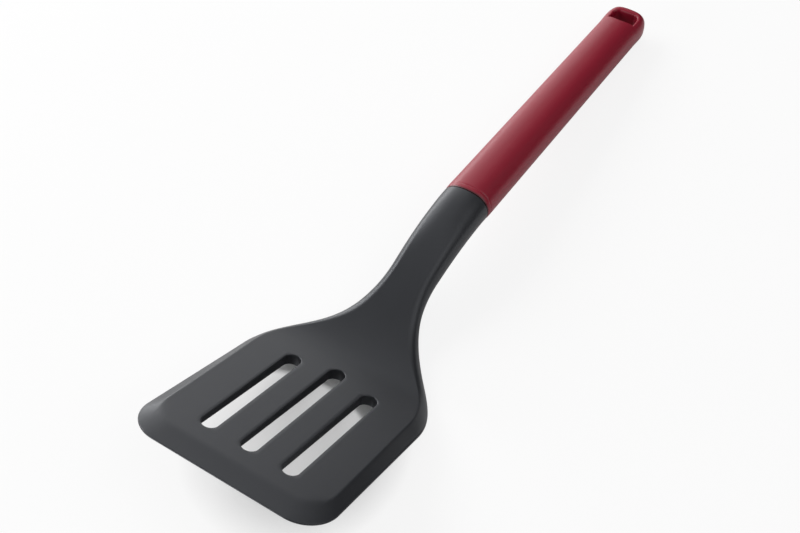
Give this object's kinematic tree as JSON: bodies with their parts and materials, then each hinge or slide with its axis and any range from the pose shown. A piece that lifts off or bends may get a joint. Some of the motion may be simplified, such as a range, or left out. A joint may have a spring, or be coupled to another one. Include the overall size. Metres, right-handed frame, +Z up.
{
  "type": "slotted spatula",
  "caption": "Slotted kitchen spatula with a flat nylon blade, a raised curved neck and a glossy straight handle with a hang hole, for turning and draining food.",
  "frame": {"origin": "middle of the base of the bounding box, on the table the spatula lies on", "axes": "+X runs from the front edge of the blade to the end of the handle, +Y across the blade, +Z up from the table"},
  "size_m": [0.3466, 0.0844, 0.0377],
  "materials": {
    "nylon": "fine-grained dark grey moulded nylon",
    "red_plastic": "polished deep red moulded plastic",
    "core_plastic": "plain moulded filler, out of sight"
  },
  "bodies": {
    "root": {"nylon_head": "nylon", "handle_shell": "red_plastic", "handle_core": "core_plastic"}
  },
  "joints": []
}
